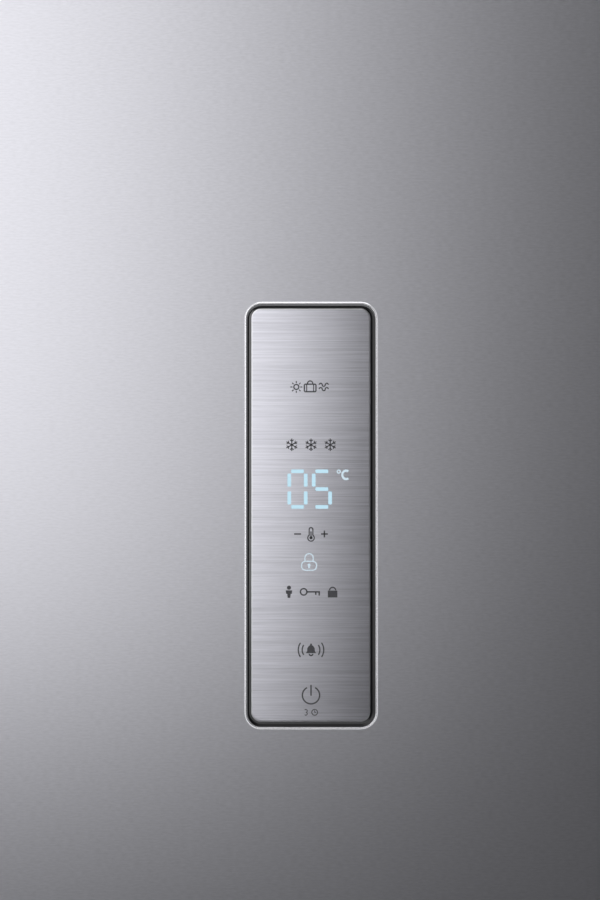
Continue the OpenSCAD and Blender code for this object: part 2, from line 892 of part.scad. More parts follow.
// Mains inlet: a hollow box with a round lead entry at the back
module power_box() {
    back = box_y0 + box_l;
    color("black") difference() {
        union() {
            block([box_x0, box_y0, tray_top], [box_x0 + box_w, back, tray_top + box_h]);
            rod([gland_x, back - over, gland_z], [gland_x, back + gland_l, gland_z], gland_r + 4);
        }
        block([box_x0 + box_wall, box_y0 + box_wall, tray_top + box_wall],
            [box_x0 + box_w - box_wall, back - box_wall, tray_top + box_h - box_wall]);
        rod([gland_x, back - box_wall - over, gland_z], [gland_x, back + gland_l + over, gland_z], gland_r);
    }
}

// Kick plate with air slots, in front of the base frame
module plinth_grille() {
    y0 = case_front - 10;
    low = 12;
    high = case_z - 4;
    color("gray") difference() {
        union() {
            slab(half_w - 4, y0, y0 + 2.5, low, high);
            slab(half_w - 4, y0, case_front, high - 2.5, high);
            both_sides() block([half_w - 6.5, y0, low], [half_w - 4, case_front, high]);
        }
        for (i = [-9 : 9])
            block([i * 24 - 8, y0 - over, low + 9], [i * 24 + 8, y0 + 2.5 + over, low + 13]);
        for (i = [-9 : 9])
            block([i * 24 - 8, y0 - over, low + 19], [i * 24 + 8, y0 + 2.5 + over, low + 23]);
        block([bracket_x - 16, case_front - bracket_t - head_h - 0.5, low - over], [half_w, case_front + over, case_z]);
    }
}

// Forks with riveted axles under the compressor tray
module roller_brackets() {
    y = case_back - foot_setback;
    cheek = 2;
    gap = roller_w / 2 + play;
    color("silver") both_sides() translate([half_w - foot_inset, y, 0]) {
        block([-gap - cheek, -16, tray_z - cheek], [gap + cheek, 16, tray_z]);
        for (x = [-gap - cheek, gap])
            block([x, -10, roller_r - 8], [x + cheek, 10, tray_z]);
        rod([-gap - 1, 0, roller_r], [gap + 1, 0, roller_r], axle_r);
    }
}

module roller(side) {
    color("dimgray") translate([side * (half_w - foot_inset), case_back - foot_setback, roller_r]) difference() {
        rotate([0, 90, 0]) cylinder(h = roller_w, r = roller_r, center = true, $fn = 64);
        rotate([0, 90, 0]) cylinder(h = roller_w + 2 * over, r = axle_r + fit, center = true);
    }
}

module roller_left() {
    roller(-1);
}

module roller_right() {
    roller(1);
}

// Screw foot with a hexagon for a spanner
module levelling_foot(side) {
    color("dimgray") translate([side * (half_w - foot_inset), case_front + foot_setback, 0]) {
        cylinder(h = 5, r = foot_pad_r);
        translate([0, 0, 5]) cylinder(h = 3, r1 = foot_pad_r, r2 = foot_stem_r + 5);
        translate([0, 0, 8]) cylinder(h = 8, r = foot_stem_r + 5, $fn = 6);
        translate([0, 0, 16]) cylinder(h = case_z - 4 - 16, r = foot_stem_r);
    }
}

module levelling_foot_left() {
    levelling_foot(-1);
}

module levelling_foot_right() {
    levelling_foot(1);
}

// Hinge plate seen from above, with a round nose over the axis
module hinge_plate(back) {
    block([bracket_x - 12, hinge_y, 0], [hinge_x + 10, back, bracket_t]);
    translate([hinge_x, hinge_y, 0]) cylinder(h = bracket_t, r = 10);
}

module hinge_brackets() {
    color("silver") {
        difference() {
            translate([0, 0, cab_h]) hinge_plate(case_front + 62);
            top_screw_holes();
            rod([hinge_x, hinge_y, cab_h - over], [hinge_x, hinge_y, cab_h + bracket_t + over], pin_r + fit);
        }
        difference() {
            union() {
                translate([0, 0, case_z]) hinge_plate(case_front);
                block([bracket_x - 12, case_front - bracket_t, base_z], [hinge_x + 10, case_front, case_z]);
            }
            rod([hinge_x, hinge_y, case_z - over], [hinge_x, hinge_y, case_z + bracket_t + over], pin_r + fit);
            for (x = low_screws)
                rod([x, case_front - bracket_t - over, low_screw_z], [x, case_front + over, low_screw_z], screw_r + fit);
        }
    }
}

// Pins with heads outside the brackets
module hinge_pins() {
    head = 2;
    color("silver") translate([hinge_x, hinge_y, 0]) {
        translate([0, 0, door_top - pin_depth]) cylinder(h = cab_h + bracket_t - door_top + pin_depth, r = pin_r);
        translate([0, 0, cab_h + bracket_t]) cylinder(h = head, r = pin_r + 2);
        translate([0, 0, case_z]) cylinder(h = door_low - case_z + pin_depth, r = pin_r);
        translate([0, 0, case_z - head]) cylinder(h = head, r = pin_r + 2);
    }
}

// Cover over the top hinge, open below
module hinge_cover() {
    wall = 2;
    w = 62;
    l = case_front + 72 - (hinge_y - 13);
    x = half_w - w / 2 - 1;
    y = hinge_y - 13 + l / 2;
    color("gainsboro") difference() {
        translate([x, y, cab_h]) linear_extrude(cover_h) round_rect(w, l, 10);
        translate([x, y, cab_h - over]) linear_extrude(cover_h - wall + over) round_rect(w - 2 * wall, l - 2 * wall, 8);
    }
}

module cabinet_screws() {
    color("silver") {
        for (p = top_screws) {
            rod([p.x, p.y, cab_h - 13], [p.x, p.y, cab_h + bracket_t], screw_r);
            translate([p.x, p.y, cab_h + bracket_t]) cylinder(h = head_h, r = head_r, $fn = 6);
        }
        for (x = low_screws) {
            rod([x, case_front - bracket_t, low_screw_z], [x, case_front + base_t + 2, low_screw_z], screw_r);
            translate([x, case_front - bracket_t, low_screw_z]) rotate([90, 0, 0]) cylinder(h = head_h, r = head_r, $fn = 6);
        }
        mount_places() {
            translate([0, 0, tray_top]) cylinder(h = mount_h + feet_t, r = screw_r);
            translate([0, 0, feet_z + feet_t]) cylinder(h = head_h, r = head_r + 2, $fn = 6);
        }
    }
}

// The door seen from above, inset by g, with round front edges
module door_outline(g) {
    x = half_w - g;
    r = door_r - g;
    y = door_face + g;
    translate([-x, y + r]) square([2 * x, door_back - g - y - r]);
    translate([-x + r, y]) square([2 * (x - r), r + 1]);
    for (s = [-1, 1])
        translate([s * (x - r), y + r]) circle(r = r);
}

// Opening of the control panel, grown by g
module panel_shape(g) {
    translate([0, panel_z]) round_rect(panel_w + 2 * g, panel_h + 2 * g, panel_r + g);
}

module door_skin() {
    color("silver") difference() {
        translate([0, 0, door_low + cap_t]) linear_extrude(door_top - door_low - 2 * cap_t) difference() {
            door_outline(0);
            door_outline(sheet);
            translate([-(half_w - skin_lip), door_back - 2 * sheet]) square([2 * (half_w - skin_lip), 4 * sheet]);
        }
        along_y(door_face - over, door_face + sheet + over) panel_shape(0);
    }
}

// End cap of the door as a plate and a plug, with its plate from z = 0 up
module end_cap() {
    g = sheet + plug_gap;
    difference() {
        union() {
            linear_extrude(cap_t) door_outline(0);
            translate([0, 0, cap_t]) linear_extrude(plug_h) intersection() {
                door_outline(g);
                translate([-half_w, door_face]) square([cab_w, door_t - liner_t - plug_gap]);
            }
        }
        translate([hinge_x, hinge_y, -over]) cylinder(h = bush_l + over + fit, r = bush_r + fit);
    }
}

module door_end_caps() {
    color("dimgray") {
        translate([0, 0, door_low]) end_cap();
        translate([0, 0, door_top]) mirror([0, 0, 1]) end_cap();
    }
}

module hinge_bushes() {
    color("white") for (z = [door_low, door_top - bush_l])
        translate([hinge_x, hinge_y, z]) difference() {
            cylinder(h = bush_l, r = bush_r);
            translate([0, 0, -over]) cylinder(h = bush_l + 2 * over, r = pin_r + fit);
        }
}

module door_foam() {
    low = door_low + cap_t + plug_h;
    high = door_top - cap_t - plug_h;
    color("khaki") difference() {
        translate([0, 0, low]) linear_extrude(high - low) intersection() {
            door_outline(sheet);
            translate([-half_w, door_face]) square([cab_w, door_t - liner_t]);
        }
        along_y(door_face - over, door_face + pocket_d) panel_shape(2);
    }
}

// Lug on the right dyke, for a bin's ear whose underside is at z
module lug(z) {
    block([ear_x - 5.5, bin_y + 18, z - lug_h], [dyke_in + over, bin_y + 18 + ear_w, z]);
}

// Inner door: a plate, and four clipped-on dykes with the lugs for the bins
module door_liner() {
    plate_x = half_w - skin_lip;
    seat = door_back + seat_gap;
    color("white") {
        slab(plate_x, door_back - liner_t, door_back, door_low + cap_t, door_top - cap_t);
        both_sides() {
            block([dyke_in, seat, dyke_low], [dyke_out, door_back + dyke_d, dyke_top]);
            lug(bottle_z + bottle_h - ear_down);
            for (z = [lower_z, upper_z, dairy_z]) lug(z + bin_h - ear_down);
        }
        slab(dyke_in - seat_gap, seat, door_back + dyke_d, dyke_low, dyke_low + dyke_w);
        slab(dyke_in - seat_gap, seat, door_back + dyke_d, dyke_top - dyke_w, dyke_top);
    }
}

// Gasket frame between the inner door and the steel front of the case
module door_gasket() {
    inset = liner_flange + 1;
    color("lightgray") difference() {
        slab(in_x + inset + gasket_w, door_back, case_front - slack, in_floor - inset - gasket_w, in_top + inset + gasket_w);
        slab(in_x + inset, door_back - over, case_front + over, in_floor - inset, in_top + inset);
    }
}

module handle_bar() {
    end = handle_l / 2;
    color("silver") translate([bar_x, bar_y, handle_z]) {
        translate([0, 0, -end + 2]) cylinder(h = handle_l - 4, r = handle_r, $fn = 64);
        translate([0, 0, end - 2]) cylinder(h = 2, r1 = handle_r, r2 = handle_r - 2, $fn = 64);
        translate([0, 0, -end]) cylinder(h = 2, r1 = handle_r - 2, r2 = handle_r, $fn = 64);
    }
}

module handle_posts() {
    reach = handle_l / 2 - post_inset;
    color("silver") difference() {
        for (z = [handle_z - reach, handle_z + reach]) {
            rod([bar_x, bar_y, z], [bar_x, door_face, z], post_r);
            rod([bar_x, door_face - 4, z], [bar_x, door_face, z], post_r + 3);
        }
        translate([bar_x, bar_y, handle_z - handle_l / 2]) cylinder(h = handle_l, r = handle_r + fit, $fn = 64);
    }
}

// Shape of the fascia grown by g, in X and Z
module fascia_shape(g) {
    translate([0, panel_z]) round_rect(fascia_w + 2 * g, fascia_h + 2 * g, fascia_r + g);
}

// Moulded well behind the door's opening, with a bright rim in front of it
module panel_surround() {
    color("black") difference() {
        union() {
            along_y(door_face - rim_h, door_face) panel_shape(rim_w);
            along_y(door_face - rim_h, door_face + well_d + well_floor) panel_shape(-slack);
        }
        difference() {
            along_y(door_face - rim_h - over, door_face + well_d) panel_shape(-slack - well_wall);
            along_y(door_face + fascia_t, door_face + well_d + over) fascia_shape(-plateau_inset);
        }
        window_block();
    }
}

// Window in the well for the digits' light guides
module window_block() {
    z = panel_z + digit_up;
    slab(digit_pitch / 2 + digit_w / 2 + 2, door_face - over, board_y, z - digit_h / 2 - 2, z + digit_h / 2 + 2);
}

// Bar with round corners, centred, for one stroke of a digit
module stroke_bar(l) {
    round_rect(l, stroke, stroke_r);
}

// Seven strokes of a digit: top, upper right, lower right, bottom, lower left, upper left, middle
module digit(lit, grow) {
    x = digit_w / 2 - stroke / 2;
    z = digit_h / 2 - stroke / 2;
    across = 2 * x - stroke;
    down = z - stroke - 2 * stroke_gap;
    places = [[0, z, 0], [x, z / 2, 90], [x, -z / 2, 90], [0, -z, 0], [-x, -z / 2, 90], [-x, z / 2, 90], [0, 0, 0]];
    for (i = lit)
        translate([places[i].x, places[i].y]) rotate(places[i].z)
            stroke_bar((places[i].z == 0 ? across : down) + 2 * grow);
}

// The two lit digits in X and Z
module reading(grow) {
    translate([-digit_pitch / 2 - digit_left, panel_z + digit_up]) digit([0, 1, 2, 3, 4, 5], grow);
    translate([digit_pitch / 2 - digit_left, panel_z + digit_up]) digit([0, 2, 3, 5, 6], grow);
}

module fascia() {
    color("silver") difference() {
        along_y(door_face, door_face + fascia_t) fascia_shape(0);
        along_y(door_face - over, door_face + fascia_t + over) reading(0.05);
    }
}

module display_segments() {
    color("paleturquoise") along_y(door_face + 0.1, board_y) reading(0);
}

module display_board() {
    color("darkgreen") union() {
        slab(board_x, board_y, board_y + board_t, panel_z - board_z, panel_z + board_z);
        both_sides() for (z = [-1, 1] * (board_z - 8))
            rod([board_x - 6, door_face + well_d + well_floor, panel_z + z], [board_x - 6, board_y + over, panel_z + z], board_post_r);
    }
}

// Bin whose underside is at z, with ears that rest on the door's lugs
module bin(z, h) {
    depth = bin_d;
    difference() {
        union() {
            translate([0, bin_y + depth / 2, z]) linear_extrude(h) round_rect(2 * bin_x, depth, 12);
            both_sides() block([bin_x - bin_wall, bin_y + 20, z + h - ear_down], [ear_x, bin_y + 16 + ear_w, z + h - ear_down + ear_h]);
        }
        translate([0, bin_y + depth / 2, z + bin_wall])
            linear_extrude(h) round_rect(2 * (bin_x - bin_wall), depth - 2 * bin_wall, 12 - bin_wall);
    }
}

module door_bin_upper() {
    color("azure") bin(upper_z, bin_h);
}

module door_bin_lower() {
    color("azure") bin(lower_z, bin_h);
}

module bottle_bin() {
    color("azure") bin(bottle_z, bottle_h);
}

module dairy_bin() {
    z = dairy_z + bin_h - lid_drop;
    color("azure") difference() {
        bin(dairy_z, bin_h);
        rod([-bin_x - over, lid_y, z], [bin_x + over, lid_y, z], lid_pin_r + fit);
    }
}

// Lid that turns on two pins in the dairy bin's sides
module dairy_lid() {
    z = dairy_z + bin_h - lid_drop;
    x = bin_x - bin_wall - play;
    y0 = lid_y - 4;
    y1 = bin_y + bin_d - bin_wall - play;
    color("azure") {
        intersection() {
            translate([0, (y0 + y1) / 2, z - lid_t / 2]) linear_extrude(lid_t) round_rect(2 * x, y1 - y0, 9);
            slab(x, y0, y1, z - lid_t, z + lid_t);
        }
        rod([-bin_x + 0.3, lid_y, z], [bin_x - 0.3, lid_y, z], lid_pin_r);
        slab(30, y1 - 12, y1 - 9, z, z + 10);
    }
}

// Drawer with rims on its runners and a taller front
module drawer(z, h, back) {
    y0 = drawer_front;
    mid = (y0 + back) / 2;
    depth = back - y0;
    color("aliceblue") difference() {
        union() {
            translate([0, mid, z]) linear_extrude(h) round_rect(2 * body_x, depth, 14);
            slab(drawer_x, y0 + 14, back - 14, z + h - drawer_wall, z + h);
            slab(drawer_x, y0, y0 + drawer_wall + 1, z, z + h);
        }
        translate([0, mid, z + drawer_wall])
            linear_extrude(h) round_rect(2 * (body_x - drawer_wall), depth - 2 * drawer_wall - 2, 11);
    }
}

module drawer_upper() {
    drawer(upper_z0, upper_h, upper_back);
}

module drawer_lower() {
    drawer(lower_z0, lower_h, lower_back);
}

side_panel_left();
side_panel_right();
top_panel();
back_panel();
bottom_panel();
base_frame();
cabinet_foam();
liner();
wall_ledges();
shelf_glass_1();
shelf_glass_2();
shelf_glass_3();
shelf_trims();
wine_rack();
crisper_cover();
rear_air_cover();
evaporator();
fan_motor();
fan_blade();
drain_trough();
drip_tray();
light_lens();
compressor();
compressor_mounts();
terminal_cover();
refrigerant_pipes();
filter_drier();
condenser();
condenser_brackets();
power_box();
plinth_grille();
roller_brackets();
roller_left();
roller_right();
levelling_foot_left();
levelling_foot_right();
hinge_brackets();
hinge_pins();
hinge_cover();
cabinet_screws();
door_skin();
door_end_caps();
door_foam();
door_liner();
door_gasket();
hinge_bushes();
handle_bar();
handle_posts();
panel_surround();
fascia();
display_segments();
display_board();
dairy_bin();
dairy_lid();
door_bin_upper();
door_bin_lower();
bottle_bin();
drawer_upper();
drawer_lower();
humidity_slider();
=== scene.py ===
"""Dresses the larder fridge: finishes for the CAD pieces, and fine pieces that the solids leave out."""

import json
import math

import bmesh
import bpy
from mathutils import Matrix, Vector


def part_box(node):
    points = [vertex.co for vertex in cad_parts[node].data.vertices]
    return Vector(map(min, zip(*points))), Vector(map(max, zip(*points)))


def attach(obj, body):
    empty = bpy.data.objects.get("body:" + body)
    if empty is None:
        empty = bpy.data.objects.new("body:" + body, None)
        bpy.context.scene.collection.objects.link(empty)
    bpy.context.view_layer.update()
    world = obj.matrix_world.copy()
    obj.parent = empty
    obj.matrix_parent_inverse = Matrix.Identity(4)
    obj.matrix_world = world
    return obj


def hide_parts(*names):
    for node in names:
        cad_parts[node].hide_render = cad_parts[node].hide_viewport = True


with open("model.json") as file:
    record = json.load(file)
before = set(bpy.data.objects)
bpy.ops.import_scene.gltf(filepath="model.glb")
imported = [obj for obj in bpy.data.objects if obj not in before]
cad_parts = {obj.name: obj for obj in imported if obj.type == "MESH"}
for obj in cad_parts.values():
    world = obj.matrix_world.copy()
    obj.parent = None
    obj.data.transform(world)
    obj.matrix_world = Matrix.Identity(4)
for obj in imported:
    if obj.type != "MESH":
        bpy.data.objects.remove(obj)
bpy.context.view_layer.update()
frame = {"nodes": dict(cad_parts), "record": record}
scene = bpy.context.scene
MM = 0.001

# Places of the control panel, from the CAD fascia
fascia_low, fascia_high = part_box("fascia")
FACE_Y = fascia_low.y
PANEL_Z = (fascia_low.z + fascia_high.z) / 2
FASCIA_W = (fascia_high.x - fascia_low.x) / MM
FASCIA_H = (fascia_high.z - fascia_low.z) / MM
GROOVE = 2.5
OPENING_W = FASCIA_W + 2 * GROOVE
OPENING_H = FASCIA_H + 2 * GROOVE
OPENING_R = 7.0
# Panel drawing: millimetres, x to the right, y up, z out of the door
PANEL = Matrix(((MM, 0, 0, 0), (0, 0, -MM, FACE_Y), (0, MM, 0, PANEL_Z), (0, 0, 0, 1)))


# Camera: straight at the door, as in the photograph

AIM = Vector((-0.005, FACE_Y, 1.4303))
VIEW_DISTANCE = 1.158


def add_camera():
    data = bpy.data.cameras.new("camera")
    data.lens = 100
    data.sensor_width = 36
    camera = bpy.data.objects.new("camera", data)
    camera.location = AIM - Vector((0, VIEW_DISTANCE, 0))
    camera.rotation_euler = (math.radians(90), 0, 0)
    scene.collection.objects.link(camera)
    scene.camera = camera


add_camera()


# Finishes


class Finish:
    """A material with its Principled shader and short ways to add procedural detail."""

    def __init__(self, name, color, roughness=0.5, metallic=0.0, **sockets):
        self.name = name
        self.material = bpy.data.materials.new(name)
        self.material.use_nodes = True
        self.nodes = self.material.node_tree.nodes
        self.links = self.material.node_tree.links
        self.shader = self.nodes["Principled BSDF"]
        self.color = color
        self.roughness = roughness
        self.set("Base Color", (*color, 1))
        self.set("Roughness", roughness)
        self.set("Metallic", metallic)
        for socket, value in sockets.items():
            self.set(socket.replace("_", " "), value)
        self.place = self.nodes.new("ShaderNodeTexCoord").outputs["Object"]

    def set(self, socket, value):
        self.shader.inputs[socket].default_value = value

    def glow(self, color, strength):
        self.set("Emission Color", (*color, 1))
        self.set("Emission Strength", strength)

    def add(self, kind, **settings):
        node = self.nodes.new("ShaderNode" + kind)
        for key, value in settings.items():
            if hasattr(node, key):
                setattr(node, key, value)
            else:
                node.inputs[key.replace("_", " ")].default_value = value
        return node

    def link(self, out, into):
        self.links.new(out, into)

    def noise(self, stretch, detail=3.0, roughness=0.6, seed=0.0):
        """Noise whose grain size is 1 / stretch along each axis, in metres."""
        mapping = self.add("Mapping")
        mapping.inputs["Scale"].default_value = stretch
        mapping.inputs["Location"].default_value = (seed, seed * 1.7, seed * 0.6)
        self.link(self.place, mapping.inputs["Vector"])
        node = self.add("TexNoise", Scale=1.0, Detail=detail, Roughness=roughness)
        self.link(mapping.outputs["Vector"], node.inputs["Vector"])
        return node.outputs["Fac"]

    def even_noise(self, stretch, **settings):
        """Noise with the same grain along each axis."""
        return self.noise((stretch,) * 3, **settings)

    def voronoi(self, scale):
        node = self.add("TexVoronoi", Scale=scale)
        self.link(self.place, node.inputs["Vector"])
        return node.outputs

    def calc(self, operation, a, b):
        node = self.add("Math", operation=operation)
        for value, socket in ((a, node.inputs[0]), (b, node.inputs[1])):
            if isinstance(value, (int, float)):
                socket.default_value = value
            else:
                self.link(value, socket)
        return node.outputs[0]

    def tint(self, fac, low, high):
        """Base colour from low to high times the finish's own colour."""
        ramp = self.add("ValToRGB")
        for element, position, share in zip(ramp.color_ramp.elements, (0.25, 0.75), (low, high)):
            element.position = position
            element.color = (*[min(1, c * share) for c in self.color], 1)
        self.link(fac, ramp.inputs["Fac"])
        self.link(ramp.outputs["Color"], self.shader.inputs["Base Color"])

    def rough(self, fac, amount):
        """Roughness that varies by the amount around the finish's own."""
        low = self.roughness - amount
        high = self.roughness + amount
        node = self.add("MapRange", From_Min=0.25, From_Max=0.75, To_Min=low, To_Max=high)
        self.link(fac, node.inputs["Value"])
        self.link(node.outputs["Result"], self.shader.inputs["Roughness"])

    def bump(self, height, distance):
        node = self.add("Bump", Strength=1.0, Distance=distance)
        self.link(height, node.inputs["Height"])
        self.link(node.outputs["Normal"], self.shader.inputs["Normal"])
        return node


def brushed(name, color, roughness, grain, lines, share, contrast, depth, anisotropy=0.0):
    """Brushed steel: fine grain, and longer lines that take the given share of it."""
    steel = Finish(name, color, roughness, 1.0, Anisotropic=anisotropy, Anisotropic_Rotation=0.25)
    fine = steel.noise(grain, detail=1.0)
    coarse = steel.noise(lines, roughness=0.7, seed=3.1)
    fine_part = steel.calc("MULTIPLY", fine, 1 - share)
    coarse_part = steel.calc("MULTIPLY", coarse, share)
    both = steel.calc("ADD", fine_part, coarse_part)
    steel.tint(both, 1 - contrast, 1 + contrast)
    steel.rough(fine, 0.02)
    steel.grain = steel.bump(both, depth)
    tangent = steel.add("Tangent", direction_type="RADIAL", axis="Z")
    steel.link(tangent.outputs["Tangent"], steel.shader.inputs["Tangent"])
    return steel


def rolled_plate(steel):
    """Gives the fascia's finish the play of light of a slightly curved plate: round across and more
    so on its right, a touch hollow along its height, and slightly twisted in its lower part."""
    round_middle = 0.0097
    roundness = -0.75
    right_roundness = -4.0
    hollowness = 0.08
    twist_end = 0.04
    twist = 0.16
    split = steel.add("SeparateXYZ")
    steel.link(steel.place, split.inputs[0])
    across = steel.calc("SUBTRACT", split.outputs["X"], round_middle)
    along = steel.calc("SUBTRACT", split.outputs["Z"], PANEL_Z)
    lower = steel.calc("MINIMUM", steel.calc("SUBTRACT", along, twist_end), 0.0)
    sag = steel.calc("MULTIPLY", steel.calc("MULTIPLY", across, across), roundness)
    for form, amount in (
        (steel.calc("MULTIPLY", along, along), hollowness),
        (steel.calc("POWER", split.outputs["X"], 3.0), right_roundness),
        (steel.calc("MULTIPLY", across, lower), twist),
    ):
        sag = steel.calc("ADD", sag, steel.calc("MULTIPLY", form, amount))
    crown = steel.add("Bump", Strength=1.0, Distance=1.0)
    steel.link(sag, crown.inputs["Height"])
    steel.link(crown.outputs["Normal"], steel.grain.inputs["Normal"])
    return steel


def painted(name, color, roughness, metallic=0.0, **sockets):
    """Sprayed coat with a slight orange peel."""
    coat = Finish(name, color, roughness, metallic, **sockets)
    peel = coat.even_noise(900, detail=2.0)
    cloud = coat.even_noise(6, detail=2.0, seed=5.0)
    coat.tint(cloud, 0.992, 1.008)
    coat.rough(cloud, 0.008)
    coat.bump(peel, 0.04 * MM)
    return coat


def moulded(name, color, roughness, texture=2500, depth=0.02 * MM, cloudy=0.03):
    """Moulded plastic with fine spark texture."""
    plastic = Finish(name, color, roughness)
    spark = plastic.even_noise(texture, detail=1.0)
    cloud = plastic.even_noise(9, seed=2.0)
    plastic.tint(cloud, 1 - cloudy, 1 + cloudy)
    plastic.rough(cloud, 0.012)
    plastic.bump(spark, depth)
    return plastic


def zinc_sheet():
    zinc = Finish("zinc_sheet", (0.56, 0.57, 0.58), 0.42, 0.85)
    spangle = zinc.voronoi(90)
    zinc.tint(spangle["Color"], 0.93, 1.05)
    zinc.rough(zinc.even_noise(60, seed=1.0), 0.1)
    zinc.bump(spangle["Distance"], 0.03 * MM)
    return zinc


def foam():
    cast = Finish("foam", (0.86, 0.76, 0.46), 0.9)
    cast.tint(cast.even_noise(40), 0.85, 1.08)
    cast.bump(cast.voronoi(700)["Distance"], 0.4 * MM)
    return cast


def shelf_glass():
    glass = Finish(
        "shelf_glass", (0.87, 0.965, 0.94), 0.02, Transmission_Weight=1.0, IOR=1.5, Alpha=0.6
    )
    glass.rough(glass.even_noise(14), 0.012)
    return glass


def clear_plastic():
    clear = Finish("clear_plastic", (0.82, 0.89, 0.93), 0.08, IOR=1.49, Alpha=0.3)
    clear.rough(clear.even_noise(22), 0.03)
    clear.tint(clear.even_noise(16, seed=7.0), 0.96, 1.04)
    return clear


def clear_edge():
    """Thick edge of a clear bin, which shows more than its wall."""
    edge = Finish("clear_edge", (0.86, 0.92, 0.95), 0.08, IOR=1.49, Alpha=0.6)
    edge.rough(edge.even_noise(22), 0.03)
    return edge


def silver_trim():
    trim = Finish("silver_trim", (0.72, 0.72, 0.74), 0.33, 1.0)
    draw_lines = (20, 900, 900)
    trim.tint(trim.noise(draw_lines), 0.95, 1.05)
    trim.rough(trim.noise(draw_lines, seed=2.0), 0.03)
    return trim


def chromed_wire():
    wire = Finish("chromed_wire", (0.78, 0.78, 0.8), 0.12, 1.0)
    wire.rough(wire.even_noise(200), 0.04)
    return wire


def fin_aluminium():
    fins = Finish("fin_aluminium", (0.75, 0.76, 0.77), 0.35, 1.0)
    fins.tint(fins.even_noise(80), 0.9, 1.05)
    return fins


def pin_steel():
    pin = Finish("pin_steel", (0.6, 0.6, 0.61), 0.25, 1.0)
    pin.tint(pin.noise((300, 300, 900)), 0.9, 1.05)
    pin.rough(pin.even_noise(200, seed=1.0), 0.06)
    return pin


def copper():
    tube = Finish("copper", (0.72, 0.34, 0.19), 0.3, 1.0)
    tube.tint(tube.even_noise(70, detail=5.0), 0.6, 1.1)
    tube.rough(tube.even_noise(120, seed=1.0), 0.12)
    return tube


def lamp_plastic():
    """Ribbed lens with the lamp's light in it."""
    lens = Finish("lamp_plastic", (0.9, 0.91, 0.92), 0.25)
    lens.glow((1, 0.98, 0.94), 1.6)
    ribs = lens.add("TexWave", Scale=45.0)
    lens.link(lens.place, ribs.inputs["Vector"])
    lens.bump(ribs.outputs["Fac"], 0.6 * MM)
    return lens


def lit(name, color, glow, strength, uneven_gloss=0.0):
    """Part of the display that shines."""
    light = Finish(name, color, 0.5, Specular_IOR_Level=0.2)
    light.glow(glow, strength)
    uneven = light.noise((60, 60, 1200), detail=2.0)
    light.tint(uneven, 0.4, 1.6)
    if uneven_gloss:
        light.rough(uneven, uneven_gloss)
    return light


def sign_ink():
    ink = Finish("sign_ink", (0.045, 0.045, 0.05), 0.6, Specular_IOR_Level=0.3)
    ink.tint(ink.even_noise(900), 0.85, 1.15)
    return ink


def polished(name, color, roughness, metallic, stretch, amount, seed=0.0, **sockets):
    """Smooth rim and groove parts, whose gloss varies a little."""
    part = Finish(name, color, roughness, metallic, **sockets)
    part.rough(part.even_noise(stretch, seed=seed), amount)
    return part


GROOVE_COLOR = (0.004, 0.004, 0.005)
made_finishes = (
    brushed(
        "door_steel", (0.622, 0.62, 0.664), 0.34, grain=(330, 330, 1350), lines=(90, 90, 1250),
        share=0.25, contrast=0.075, depth=0.006 * MM,
    ),
    brushed(
        "handle_steel", (0.68, 0.68, 0.7), 0.31, grain=(900, 900, 60), lines=(300, 300, 16),
        share=0.4, contrast=0.06, depth=0.01 * MM, anisotropy=0.2,
    ),
    rolled_plate(
        brushed(
            "fascia_steel", (0.685, 0.683, 0.744), 0.3, grain=(120, 120, 1800), lines=(18, 18, 1500),
            share=0.85, contrast=0.215, depth=0.006 * MM,
        )
    ),
    painted("painted_side", (0.5, 0.505, 0.52), 0.42),
    painted("frame_steel", (0.035, 0.035, 0.038), 0.5),
    painted("black_enamel", (0.02, 0.02, 0.022), 0.25, Coat_Weight=0.5),
    painted("motor_metal", (0.2, 0.2, 0.21), 0.4, metallic=0.6),
    zinc_sheet(),
    foam(),
    moulded("white_plastic", (0.84, 0.85, 0.86), 0.36, 1400, 0.01 * MM, 0.008),
    moulded("grey_plastic", (0.1, 0.1, 0.108), 0.5),
    moulded("black_plastic", (0.022, 0.022, 0.024), 0.5),
    moulded("panel_black", (0.012, 0.012, 0.014), 0.3, 1200, 0.005 * MM),
    moulded("slider_plastic", (0.06, 0.23, 0.5), 0.4),
    moulded("black_rubber", (0.02, 0.02, 0.02), 0.8, 900, 0.06 * MM),
    moulded("gasket_rubber", (0.5, 0.5, 0.52), 0.62, 1100, 0.03 * MM),
    shelf_glass(),
    clear_plastic(),
    clear_edge(),
    silver_trim(),
    chromed_wire(),
    fin_aluminium(),
    pin_steel(),
    copper(),
    lamp_plastic(),
    lit("lit_cyan", (0.03, 0.05, 0.06), (0.54, 0.8, 0.93), 0.9, uneven_gloss=0.1),
    lit("pale_lit", (0.05, 0.06, 0.06), (0.66, 0.82, 0.92), 0.82),
    sign_ink(),
    polished("rim_metal", (0.9, 0.9, 0.92), 0.24, 1.0, 500, 0.04),
    polished("groove_black", GROOVE_COLOR, 0.16, 0.0, 700, 0.04, Specular_IOR_Level=0.75),
    polished("shoulder_metal", (0.2, 0.2, 0.205), 0.32, 1.0, 600, 0.03, seed=6.0),
    polished("wall_black", GROOVE_COLOR, 0.2, 0.0, 700, 0.04, seed=4.0, Specular_IOR_Level=0.4),
)
finishes = {finish.name: finish for finish in made_finishes}

for part in frame["record"]["subparts"]:
    for material_slot in frame["nodes"][part["node"]].material_slots:
        material_slot.material = finishes[part["material_slot"]].material


# Making of pieces


